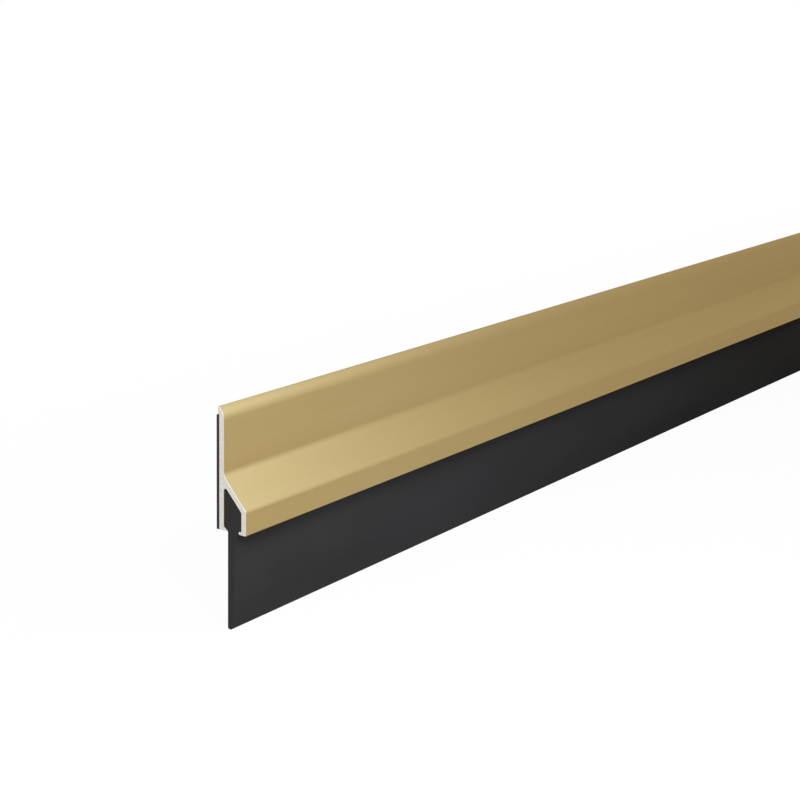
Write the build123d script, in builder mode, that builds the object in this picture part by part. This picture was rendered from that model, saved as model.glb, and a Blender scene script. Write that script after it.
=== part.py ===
from build123d import *
from math import hypot, sqrt
import os

# Door weather strip, stuck along the foot of a door so that its blade wipes the sill.
# X runs along the strip, the front faces -Y and Z is up. The origin is the centre of the
# adhesive face, which lies on the door at Y = 0. All sizes are in millimetres.

# Strip, for a door leaf 36 inches wide
strip_length = 914.0

# Aluminium carrier: heights are above its foot, and depths are from the plate's back
wall = 1.1
carrier_height = 23.4
carrier_depth = 6.4
shoulder_height = 10.4
front_height = 4.7
roll_radius = 3.0
shoulder_radius = 2.0
brow_radius = 1.3
brow_inner_radius = 0.3
apex_radius = 0.55

# Hook along the carrier's top edge, which covers the top of the tape
hook_tip = 1.45
hook_rise = 0.15
hook_relief = 0.3
hook_round = 0.12

# Toe on the plate and lip on the front wall, which keep the blade in its channel
toe_reach = 0.9
toe_height = 0.8
toe_edge = 0.2
lip_reach = 0.65
lip_thickness = 0.6
lip_round = 0.25
foot_round = 0.2

# Adhesive tape
tape_thickness = 0.6
tape_gap = 0.05

# Rubber blade: drops are below the carrier's foot
head_clearance = 0.15
back_clearance = 0.3
neck_clearance = 0.1
head_round = 0.3
root_drop = 1.6
root_round = 2.5
blade_thickness = 1.7
blade_drop = 19.0
tip_taper = 6.5
taper_round = 30.0
blade_tip = 1.0
tip_round = 0.4

# Largest share of a thin edge that one rounded corner may take
round_share = 0.45

# Depths of the section's faces, from the door
plate_back = tape_thickness
plate_front = plate_back + wall
toe_tip = plate_front + toe_reach
front_face = plate_back + carrier_depth
front_inner = front_face - wall
lip_tip = front_inner - lip_reach

# The tape stands on the foot's level and ends just below the hook
tape_height = carrier_height - hook_tip - hook_rise - tape_gap

# The rolled edge leaves the plate's front face as a tangent and ends at the hook's tip
roll_depth = plate_front - hook_relief
roll_start = carrier_height - sqrt(roll_radius**2 - (roll_radius - roll_depth) ** 2)

# The shoulder falls from the plate to the front wall
slope_run = front_face - plate_front
slope_drop = shoulder_height - front_height
slope_length = hypot(slope_run, slope_drop)

# Section plane, seen from the strip's left end: depth from the door, then height
section = Plane(origin=(0, 0, -tape_height / 2), x_dir=(0, -1, 0), z_dir=(-1, 0, 0))


def shoulder_line(depth, inset):
    """Height of the line that lies under the shoulder's outer face by the given inset."""
    fall = (depth - plate_front) * slope_drop / slope_run
    return shoulder_height - fall - inset * slope_length / slope_run


def toe_line(depth):
    """Height of the toe's sloping top, on which the blade's head is seated."""
    return toe_height - (depth - plate_front) * (toe_height - toe_edge) / toe_reach


def round_corner(sketch, corner, radius):
    """Round the corner of a section that lies at the given depth and height."""
    fillet(sketch.vertices().sort_by_distance(corner)[0], radius)


# Carrier: one extruded section of even wall, with the channel open at its foot
shoulder_corner = (plate_front, shoulder_height)
brow_corner = (front_face, front_height)
brow_inner_corner = (front_inner, shoulder_line(front_inner, wall))
apex_corner = (plate_front, shoulder_line(plate_front, wall))
lip_corners = [(lip_tip, lip_thickness), (lip_tip, 0)]
foot_corners = [(plate_back, 0), (front_face, 0)]
hook_corners = [(hook_relief, carrier_height - hook_tip), (hook_relief, carrier_height)]

with BuildPart() as carrier:
    with BuildSketch(section) as carrier_section:
        with BuildLine():
            RadiusArc(hook_corners[1], (plate_front, roll_start), roll_radius)
            Polyline(
                (plate_front, roll_start),
                shoulder_corner,
                brow_corner,
                foot_corners[1],
                lip_corners[1],
                lip_corners[0],
                (front_inner, lip_thickness),
                brow_inner_corner,
                apex_corner,
                (plate_front, toe_height),
                (toe_tip, toe_edge),
                (toe_tip, 0),
                foot_corners[0],
                (plate_back, tape_height + tape_gap),
                *hook_corners,
            )
        make_face()
        round_corner(carrier_section, shoulder_corner, shoulder_radius)
        round_corner(carrier_section, brow_corner, brow_radius)
        round_corner(carrier_section, brow_inner_corner, brow_inner_radius)
        round_corner(carrier_section, apex_corner, apex_radius)
        for corner in lip_corners:
            round_corner(carrier_section, corner, min(lip_round, round_share * lip_thickness))
        for corner in foot_corners:
            round_corner(carrier_section, corner, foot_round)
        for corner in hook_corners:
            round_corner(carrier_section, corner, hook_round)
    extrude(amount=strip_length / 2, both=True)

# Blade: its head fills the channel and sits on the toe and the lip. Below the neck between
# them it draws in to an even thickness, and its lowest part tapers to a rounded tip
head_back = plate_front + back_clearance
head_front = front_inner - head_clearance
neck_back = toe_tip + neck_clearance
neck_front = lip_tip - neck_clearance
blade_front = neck_back + blade_thickness
head_inset = wall + head_clearance
head_apex = (head_back, shoulder_line(head_back, head_inset))
head_corners = [
    (head_front, shoulder_line(head_front, head_inset)),
    (head_front, lip_thickness),
    (head_back, toe_line(head_back)),
]
root_corner = (blade_front, -root_drop)
taper_corner = (blade_front, tip_taper - blade_drop)
tip_corners = [(neck_back, -blade_drop), (neck_back + blade_tip, -blade_drop)]

with BuildPart() as blade:
    with BuildSketch(section) as blade_section:
        with BuildLine():
            Polyline(
                tip_corners[0],
                (neck_back, toe_line(neck_back)),
                head_corners[2],
                head_apex,
                head_corners[0],
                head_corners[1],
                (neck_front, lip_thickness),
                (neck_front, 0),
                root_corner,
                taper_corner,
                tip_corners[1],
                close=True,
            )
        make_face()
        round_corner(blade_section, head_apex, apex_radius)
        for corner in head_corners:
            round_corner(blade_section, corner, head_round)
        round_corner(blade_section, root_corner, root_round)
        round_corner(blade_section, taper_corner, taper_round)
        for corner in tip_corners:
            round_corner(blade_section, corner, min(tip_round, round_share * blade_tip))
    extrude(amount=strip_length / 2, both=True)

# Tape: a flat strip on the plate's back, as long as the carrier
with BuildPart() as tape:
    with BuildSketch(section):
        Rectangle(tape_thickness, tape_height, align=Align.MIN)
    extrude(amount=strip_length / 2, both=True)

carrier.part.label = "aluminium_carrier"
blade.part.label = "rubber_blade"
tape.part.label = "adhesive_tape"

os.makedirs("parts", exist_ok=True)
export_step(carrier.part, "parts/aluminium_carrier.step")
export_step(blade.part, "parts/rubber_blade.step")
export_step(tape.part, "parts/adhesive_tape.step")
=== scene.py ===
from math import acos, hypot, pi, radians, sqrt, tan

import bmesh
import bpy
from mathutils import Matrix, Vector


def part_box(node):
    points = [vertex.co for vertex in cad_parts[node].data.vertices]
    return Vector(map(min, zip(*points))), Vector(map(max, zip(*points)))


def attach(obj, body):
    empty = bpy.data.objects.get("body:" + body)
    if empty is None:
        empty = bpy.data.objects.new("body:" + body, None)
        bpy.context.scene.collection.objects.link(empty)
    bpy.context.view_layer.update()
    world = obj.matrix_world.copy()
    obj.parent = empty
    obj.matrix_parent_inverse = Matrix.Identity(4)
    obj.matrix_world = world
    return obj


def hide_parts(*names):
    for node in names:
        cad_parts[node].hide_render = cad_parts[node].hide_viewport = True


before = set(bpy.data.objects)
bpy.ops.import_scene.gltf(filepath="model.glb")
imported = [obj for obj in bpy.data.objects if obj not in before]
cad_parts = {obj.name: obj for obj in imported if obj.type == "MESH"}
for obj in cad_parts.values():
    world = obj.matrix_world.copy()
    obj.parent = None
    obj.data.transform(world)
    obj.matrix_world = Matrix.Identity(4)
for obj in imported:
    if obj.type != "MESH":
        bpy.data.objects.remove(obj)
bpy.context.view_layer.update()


# Carrier: one aluminium section pushed through a die, satin anodised gold in the bar and then
# sawn to length, so its long faces are gold and its two cut ends are bare, deburred metal.
# Its channel is open at the foot between a toe on the plate and a lip on the front wall.
carrier_low, carrier_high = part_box("aluminium_carrier")
tape_low, tape_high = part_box("adhesive_tape")

wall = 0.0011
carrier_height = 0.0234
shoulder_height = 0.0104
front_height = 0.0047
hook_tip = 0.00145
toe_reach = 0.0009
toe_height = 0.0008
toe_edge = 0.0002
lip_reach = 0.00065
lip_thickness = 0.0006
tape_gap = 0.00005

roll_radius, roll_steps = 0.003, 12
shoulder_radius, shoulder_steps = 0.002, 12
brow_radius, brow_steps = 0.0013, 10
brow_inner_radius, brow_inner_steps = 0.0003, 5
apex_radius, apex_steps = 0.00055, 8
lip_round, lip_steps = 0.00025, 6
foot_round, foot_steps = 0.0002, 5
hook_round, hook_steps = 0.00012, 6
deburr, deburr_steps = 0.00006, 2

left_end = carrier_low.x
right_end = carrier_high.x
strip_length = right_end - left_end
foot = carrier_low.z
tape_height = tape_high.z - foot
hook_relief = -carrier_high.y
plate_back = -tape_low.y
plate_front = plate_back + wall
toe_tip = plate_front + toe_reach
front_face = -carrier_low.y
front_inner = front_face - wall
lip_tip = front_inner - lip_reach
slope_run = front_face - plate_front
slope_drop = shoulder_height - front_height
slope_length = hypot(slope_run, slope_drop)
roll_axis = plate_front - roll_radius
roll_turn = acos((hook_relief - roll_axis) / roll_radius)
roll_start = carrier_height - sqrt(roll_radius**2 - (hook_relief - roll_axis) ** 2)


def on_cut_end(depth, height):
    """Point on the left cut end, at a depth from the door and a height above the carrier's foot."""
    return Vector((left_end, -depth, foot + height))


def shoulder_line(depth, inset):
    """Height of the line that lies under the shoulder's outer face by the given inset."""
    fall = (depth - plate_front) * slope_drop / slope_run
    return shoulder_height - fall - inset * slope_length / slope_run


def trace(name, corners):
    """Start a piece on the left cut end and trace its outline from corner to corner, as a wire."""
    bpy.ops.object.select_all(action="DESELECT")
    bpy.ops.mesh.primitive_plane_add(size=wall, location=on_cut_end(*corners[0]))
    piece = bpy.context.object
    piece.name = name
    bpy.ops.object.transform_apply(location=True, rotation=True, scale=True)
    bpy.ops.object.mode_set(mode="EDIT")
    bpy.ops.mesh.select_mode(type="VERT")
    bpy.ops.mesh.select_all(action="SELECT")
    bpy.ops.mesh.merge(type="CENTER")
    for here, there in zip(corners, corners[1:]):
        step = on_cut_end(*there) - on_cut_end(*here)
        bpy.ops.mesh.extrude_vertices_move(TRANSFORM_OT_translate={"value": step})
    return piece


def fill_outline():
    """Close the traced outline and fill it as the flat section of the cut end."""
    bpy.ops.mesh.select_all(action="SELECT")
    bpy.ops.mesh.edge_face_add()


def round_corner(piece, corner, radius, steps):
    """Round the corner of a filled section that lies at the given depth and height."""
    mesh = bmesh.from_edit_mesh(piece.data)
    place = on_cut_end(*corner)
    vertex = min(mesh.verts, key=lambda point: (point.co - place).length)
    before, after = (edge.other_vert(vertex).co for edge in vertex.link_edges)
    turn = pi - (before - vertex.co).angle(after - vertex.co)
    bpy.ops.mesh.select_all(action="DESELECT")
    vertex.select = True
    mesh.select_flush_mode()
    bmesh.update_edit_mesh(piece.data)
    bpy.ops.mesh.bevel(
        offset=radius * tan(turn / 2), segments=steps, affect="VERTICES", clamp_overlap=False
    )


def draw_out():
    """Draw the filled section out to the strip's length, as one closed solid."""
    weld = 1e-7
    bpy.ops.mesh.select_all(action="SELECT")
    bpy.ops.mesh.extrude_region_move(TRANSFORM_OT_translate={"value": (strip_length, 0, 0)})
    bpy.ops.mesh.select_all(action="SELECT")
    bpy.ops.mesh.remove_doubles(threshold=weld)
    bpy.ops.mesh.normals_make_consistent(inside=False)


def select_faces(piece, wanted):
    """Select the faces of the piece in edit mode for which the given test holds."""
    bpy.ops.mesh.select_all(action="DESELECT")
    bpy.ops.mesh.select_mode(type="FACE")
    mesh = bmesh.from_edit_mesh(piece.data)
    for face in mesh.faces:
        face.select = wanted(face)
    mesh.select_flush_mode()
    bmesh.update_edit_mesh(piece.data)


def is_cut_end(face):
    """True for a face of the sawn ends, their broken edges included."""
    least_lean = 0.3
    return abs(face.normal.x) > least_lean


def break_cut_edges(piece):
    """Take the sharp edge off both cut ends, as a file does."""
    select_faces(piece, is_cut_end)
    bpy.ops.mesh.region_to_loop()
    bpy.ops.mesh.bevel(offset=deburr, segments=deburr_steps, affect="EDGES", clamp_overlap=False)


def finish_faces(piece, materials):
    """Give the long faces the first material and the cut ends the second, and smooth the rounds."""
    smooth_angle = radians(32)
    for material in materials:
        piece.data.materials.append(material)
    select_faces(piece, is_cut_end)
    piece.active_material_index = 1
    bpy.ops.object.material_slot_assign()
    bpy.ops.object.mode_set(mode="OBJECT")
    bpy.ops.object.shade_smooth_by_angle(angle=smooth_angle)
    modifier = piece.modifiers.new("flat faces stay flat", "WEIGHTED_NORMAL")
    modifier.keep_sharp = True
    bpy.ops.object.modifier_apply(modifier=modifier.name)


def new_material(name):
    """A plain procedural material, with its node tree and its surface shader."""
    material = bpy.data.materials.new(name)
    material.use_nodes = True
    tree = material.node_tree
    return material, tree, tree.nodes["Principled BSDF"]


def stretched_noise(tree, grains, detail=3.0):
    """Noise in the piece's own coordinates, with so many grains to the metre along X, Y and Z."""
    place = tree.nodes.new("ShaderNodeTexCoord")
    mapping = tree.nodes.new("ShaderNodeMapping")
    mapping.inputs["Scale"].default_value = grains
    noise = tree.nodes.new("ShaderNodeTexNoise")
    noise.inputs["Scale"].default_value = 1.0
    noise.inputs["Detail"].default_value = detail
    tree.links.new(place.outputs["Object"], mapping.inputs["Vector"])
    tree.links.new(mapping.outputs["Vector"], noise.inputs["Vector"])
    return noise.outputs["Fac"]


noise_span = (0.3, 0.7)


def ranged(tree, value, low, high, span=noise_span):
    """Map a value from its own span, a noise's unless another is given, to low and high."""
    node = tree.nodes.new("ShaderNodeMapRange")
    node.inputs["From Min"].default_value = span[0]
    node.inputs["From Max"].default_value = span[1]
    node.inputs["To Min"].default_value = low
    node.inputs["To Max"].default_value = high
    tree.links.new(value, node.inputs["Value"])
    return node.outputs["Result"]


def mixed(tree, share, first, second):
    """Mix two colours by a share, each given as a colour or as a node's output."""
    node = tree.nodes.new("ShaderNodeMix")
    node.data_type = "RGBA"
    tree.links.new(share, node.inputs["Factor"])
    for name, colour in (("A", first), ("B", second)):
        socket = next(s for s in node.inputs if s.name == name and s.type == "RGBA")
        if isinstance(colour, tuple):
            socket.default_value = colour
        else:
            tree.links.new(colour, socket)
    return next(s for s in node.outputs if s.type == "RGBA")


def matted(tree, shader, noise, glossy, matte):
    """Let a noise run the shader's roughness between a glossy and a matte value."""
    tree.links.new(ranged(tree, noise, glossy, matte), shader.inputs["Roughness"])


def bumped(tree, shader, height, strength, distance):
    """Let a height value shape the shader's normal."""
    node = tree.nodes.new("ShaderNodeBump")
    node.inputs["Strength"].default_value = strength
    node.inputs["Distance"].default_value = distance
    tree.links.new(height, node.inputs["Height"])
    tree.links.new(node.outputs["Normal"], shader.inputs["Normal"])


# The gold is a little uneven along the bar, with short streaks from the satin brushing and
# fine lines that the die leaves from end to end.
gold_light = (0.378, 0.2725, 0.1114, 1.0)
gold_deep = (0.360, 0.2575, 0.1025, 1.0)
gold_streak = (0.430, 0.310, 0.127, 1.0)
gold_edge_tint = (0.85, 0.75, 0.60, 1.0)
most_streak = 0.14
gold, tree, shader = new_material("gold_anodised")
die_lines = stretched_noise(tree, (4, 3200, 3200))
clouding = stretched_noise(tree, (9, 120, 120), detail=2.0)
streaks = stretched_noise(tree, (220, 3000, 3000), detail=2.0)
clouded = mixed(tree, ranged(tree, clouding, 0, 1), gold_deep, gold_light)
streaked = mixed(tree, ranged(tree, streaks, 0, most_streak), clouded, gold_streak)
tree.links.new(streaked, shader.inputs["Base Color"])
matted(tree, shader, die_lines, glossy=0.47, matte=0.53)
bumped(tree, shader, die_lines, strength=0.07, distance=0.00002)
shader.inputs["Metallic"].default_value = 0.88
shader.inputs["Specular IOR Level"].default_value = 0.25
shader.inputs["Specular Tint"].default_value = gold_edge_tint

sawn_dull = (0.56, 0.53, 0.48, 1.0)
sawn_bright = (0.65, 0.62, 0.56, 1.0)
bare, tree, shader = new_material("bare_sawn_aluminium")
saw_lines = stretched_noise(tree, (300, 500, 5000))
sawn = mixed(tree, ranged(tree, saw_lines, 0, 1), sawn_dull, sawn_bright)
tree.links.new(sawn, shader.inputs["Base Color"])
matted(tree, shader, saw_lines, glossy=0.38, matte=0.50)
bumped(tree, shader, saw_lines, strength=0.15, distance=0.00003)
shader.inputs["Metallic"].default_value = 0.85

shoulder_corner = (plate_front, shoulder_height)
brow_corner = (front_face, front_height)
brow_inner_corner = (front_inner, shoulder_line(front_inner, wall))
apex_corner = (plate_front, shoulder_line(plate_front, wall))
lip_corners = [(lip_tip, lip_thickness), (lip_tip, 0)]
foot_corners = [(plate_back, 0), (front_face, 0)]
hook_corners = [(hook_relief, carrier_height - hook_tip), (hook_relief, carrier_height)]
carrier = trace("carrier", [
    hook_corners[0],
    (plate_back, tape_height + tape_gap),
    foot_corners[0],
    (toe_tip, 0),
    (toe_tip, toe_edge),
    (plate_front, toe_height),
    apex_corner,
    brow_inner_corner,
    (front_inner, lip_thickness),
    lip_corners[0],
    lip_corners[1],
    foot_corners[1],
    brow_corner,
    shoulder_corner,
    (plate_front, roll_start),
])
bpy.ops.mesh.spin(
    steps=roll_steps, angle=roll_turn, center=on_cut_end(roll_axis, roll_start), axis=(1, 0, 0)
)
fill_outline()
round_corner(carrier, shoulder_corner, shoulder_radius, shoulder_steps)
round_corner(carrier, brow_corner, brow_radius, brow_steps)
round_corner(carrier, brow_inner_corner, brow_inner_radius, brow_inner_steps)
round_corner(carrier, apex_corner, apex_radius, apex_steps)
for corner in lip_corners:
    round_corner(carrier, corner, lip_round, lip_steps)
for corner in foot_corners:
    round_corner(carrier, corner, foot_round, foot_steps)
for corner in hook_corners:
    round_corner(carrier, corner, hook_round, hook_steps)
draw_out()
break_cut_edges(carrier)
finish_faces(carrier, [gold, bare])
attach(carrier, "root")
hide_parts("aluminium_carrier")


# Blade: one length of black rubber, slid into the carrier's channel from its end. The wedge of
# its head sits on the toe and the lip. Below the neck between them the blade draws in to an even
# thickness, and its lowest part tapers to a rounded tip.
blade_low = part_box("rubber_blade")[0]

head_clearance = 0.00015
back_clearance = 0.0003
neck_clearance = 0.0001
root_drop = 0.0016
blade_thickness = 0.0017
tip_taper = 0.0065
blade_tip = 0.001

head_round, head_steps = 0.0003, 6
root_round, root_steps = 0.0025, 10
taper_round, taper_steps = 0.03, 10
tip_round, tip_steps = 0.0004, 8

blade_foot = blade_low.z - foot
head_back = plate_front + back_clearance
head_front = front_inner - head_clearance
neck_back = toe_tip + neck_clearance
neck_front = lip_tip - neck_clearance
blade_front = neck_back + blade_thickness
head_inset = wall + head_clearance


def toe_line(depth):
    """Height of the toe's sloping top, on which the head is seated."""
    return toe_height - (depth - plate_front) * (toe_height - toe_edge) / toe_reach


rubber_dark = (0.0202, 0.0191, 0.0178, 1.0)
rubber_bloom = (0.0238, 0.0226, 0.0211, 1.0)
rubber, tree, shader = new_material("black_rubber")
bloom = stretched_noise(tree, (30, 90, 90), detail=4.0)
grain = stretched_noise(tree, (2500, 5000, 5000), detail=2.0)
bloomed = mixed(tree, ranged(tree, bloom, 0, 1), rubber_dark, rubber_bloom)
tree.links.new(bloomed, shader.inputs["Base Color"])
matted(tree, shader, grain, glossy=0.78, matte=0.90)
bumped(tree, shader, grain, strength=0.10, distance=0.00003)
shader.inputs["Specular IOR Level"].default_value = 0.006

head_apex = (head_back, shoulder_line(head_back, head_inset))
head_corners = [
    (head_front, shoulder_line(head_front, head_inset)),
    (head_front, lip_thickness),
    (head_back, toe_line(head_back)),
]
root_corner = (blade_front, -root_drop)
taper_corner = (blade_front, blade_foot + tip_taper)
tip_corners = [(neck_back, blade_foot), (neck_back + blade_tip, blade_foot)]
blade = trace("blade", [
    tip_corners[0],
    (neck_back, toe_line(neck_back)),
    head_corners[2],
    head_apex,
    head_corners[0],
    head_corners[1],
    (neck_front, lip_thickness),
    (neck_front, 0),
    root_corner,
    taper_corner,
    tip_corners[1],
])
fill_outline()
round_corner(blade, head_apex, apex_radius, apex_steps)
for corner in head_corners:
    round_corner(blade, corner, head_round, head_steps)
round_corner(blade, root_corner, root_round, root_steps)
round_corner(blade, taper_corner, taper_round, taper_steps)
for corner in tip_corners:
    round_corner(blade, corner, tip_round, tip_steps)
draw_out()
break_cut_edges(blade)
finish_faces(blade, [rubber, rubber])
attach(blade, "root")
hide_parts("rubber_blade")


# Tape: a strip of thin black foam with adhesive on both sides, pressed on the plate's back under
# the hook. Its bare side sticks the strip to the door.
tape_round, tape_steps = 0.0001, 4

foam_dark = (0.012, 0.012, 0.012, 1.0)
foam_pale = (0.022, 0.022, 0.022, 1.0)
foam, tree, shader = new_material("black_foam")
cells = stretched_noise(tree, (4000, 4000, 4000), detail=2.0)
celled = mixed(tree, ranged(tree, cells, 0, 1), foam_dark, foam_pale)
tree.links.new(celled, shader.inputs["Base Color"])
matted(tree, shader, cells, glossy=0.5, matte=0.8)
bumped(tree, shader, cells, strength=0.2, distance=0.00005)
shader.inputs["Specular IOR Level"].default_value = 0.12

tape_corners = [
    (0, 0),
    (plate_back, 0),
    (plate_back, tape_height),
    (0, tape_height),
]
tape = trace("tape", tape_corners)
fill_outline()
for corner in tape_corners:
    round_corner(tape, corner, tape_round, tape_steps)
draw_out()
finish_faces(tape, [foam, foam])
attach(tape, "root")
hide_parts("adhesive_tape")


# Studio: a white paper floor under the blade's foot and a white surround. The paper is seen as
# white and takes only a faint shadow near the strip. Soft boxes stand close to the left end, and
# two with grids light the rest of the length.
floor_size = 24
floor_grey = (0.6, 0.6, 0.6, 1.0)
least_white, most_white = 0.96, 1.0
shadow_span = (0.02, 0.15)


def seen_directly(tree):
    """A value that is 1 for what the camera sees, directly or in metal or glass, and else 0."""
    path = tree.nodes.new("ShaderNodeLightPath")
    seen = path.outputs["Is Camera Ray"]
    for name in ("Is Glossy Ray", "Is Transmission Ray"):
        node = tree.nodes.new("ShaderNodeMath")
        node.operation = "MAXIMUM"
        tree.links.new(seen, node.inputs[0])
        tree.links.new(path.outputs[name], node.inputs[1])
        seen = node.outputs["Value"]
    return seen


bpy.ops.object.select_all(action="DESELECT")
bpy.ops.mesh.primitive_plane_add(size=floor_size, location=(0, 0, blade_low.z))
floor = bpy.context.object
floor.name = "floor"
paper, tree, shader = new_material("white_paper")
shader.inputs["Base Color"].default_value = floor_grey
shader.inputs["Roughness"].default_value = 1.0
shader.inputs["Specular IOR Level"].default_value = 0.0
white = tree.nodes.new("ShaderNodeEmission")
white.inputs["Strength"].default_value = 1.0
place = tree.nodes.new("ShaderNodeTexCoord")
across = tree.nodes.new("ShaderNodeMapping")
across.inputs["Scale"].default_value = (0.0, 1.0, 0.0)
away = tree.nodes.new("ShaderNodeVectorMath")
away.operation = "LENGTH"
tree.links.new(place.outputs["Object"], across.inputs["Vector"])
tree.links.new(across.outputs["Vector"], away.inputs[0])
whiteness = ranged(tree, away.outputs["Value"], least_white, most_white, shadow_span)
share = tree.nodes.new("ShaderNodeMath")
share.operation = "MULTIPLY"
tree.links.new(seen_directly(tree), share.inputs[0])
tree.links.new(whiteness, share.inputs[1])
mix = tree.nodes.new("ShaderNodeMixShader")
tree.links.new(share.outputs["Value"], mix.inputs["Fac"])
tree.links.new(shader.outputs["BSDF"], mix.inputs[1])
tree.links.new(white.outputs["Emission"], mix.inputs[2])
tree.links.new(mix.outputs["Shader"], tree.nodes["Material Output"].inputs["Surface"])
floor.data.materials.append(paper)

scene = bpy.context.scene
scene.view_settings.view_transform = "Standard"
world = bpy.data.worlds.new("studio")
scene.world = world
world.use_nodes = True
tree = world.node_tree
ambient = tree.nodes["Background"]
ambient.inputs["Color"].default_value = (1.0, 1.0, 1.0, 1.0)
level = ranged(tree, seen_directly(tree), low=0.5, high=1.0, span=(0.0, 1.0))
tree.links.new(level, ambient.inputs["Strength"])

neutral = (0.98, 1.0, 1.0)
daylight = (0.73, 1.03, 1.70)
upright = (0, 0, 1)
section_slant = (0, 0.68, 0.73)
gridded = radians(100)


def soft_light(name, place, target, width, length, power, colour=neutral, long_way=upright, spread=pi):
    """A soft box at a place, turned to a target, with its length laid the given way."""
    bpy.ops.object.light_add(type="AREA", location=place)
    lamp = bpy.context.object
    lamp.name = name
    lamp.data.shape = "RECTANGLE"
    lamp.data.size = width
    lamp.data.size_y = length
    lamp.data.energy = power
    lamp.data.color = colour
    lamp.data.spread = spread
    back = (Vector(place) - Vector(target)).normalized()
    up = (Vector(long_way) - Vector(long_way).dot(back) * back).normalized()
    lamp.rotation_euler = Matrix((up.cross(back), up, back)).transposed().to_euler()


# The front box fills the upright faces, the high one throws the lip's shadow on the blade, the
# side one lights the cut end, and the tall one draws a pale glint along the roll and the shoulder.
near_end = (left_end + 0.01, 0, 0)
soft_light("front", (left_end - 0.05, -0.22, 0.105), near_end, width=0.15, length=0.04, power=0.28)
soft_light("high", (left_end - 0.12, -0.14, 0.17), near_end, width=0.12, length=0.05, power=0.72)
soft_light("side", (left_end - 0.30, -0.10, 0.12), near_end, width=0.20, length=0.10, power=0.40)
soft_light(
    "tall", (left_end + 0.07, -0.084, 0.087), (left_end, 0, 0),
    width=0.06, length=0.19, power=0.102, colour=daylight, long_way=section_slant,
)
middle = left_end + 0.58
soft_light(
    "middle", (middle, -0.14, 0.17), (middle, 0, 0),
    width=0.16, length=0.08, power=0.07, spread=gridded,
)
soft_light(
    "far", (right_end + 0.04, -0.14, 0.17), (right_end + 0.01, 0, 0),
    width=0.16, length=0.08, power=0.07, spread=gridded,
)


# Camera: a long lens in front of the strip's left end and a little above it, which looks along
# the gold face so that the cut end shows.
camera_place = (left_end - 0.22427, -0.19976, 0.0950)
camera_turn = (radians(74.895), radians(-1.5065), radians(-54.193))
bpy.ops.object.camera_add(location=camera_place, rotation=camera_turn)
camera = bpy.context.object
camera.data.lens = 77.595
camera.data.sensor_width = 36.0
camera.data.clip_start = 0.01
scene.camera = camera
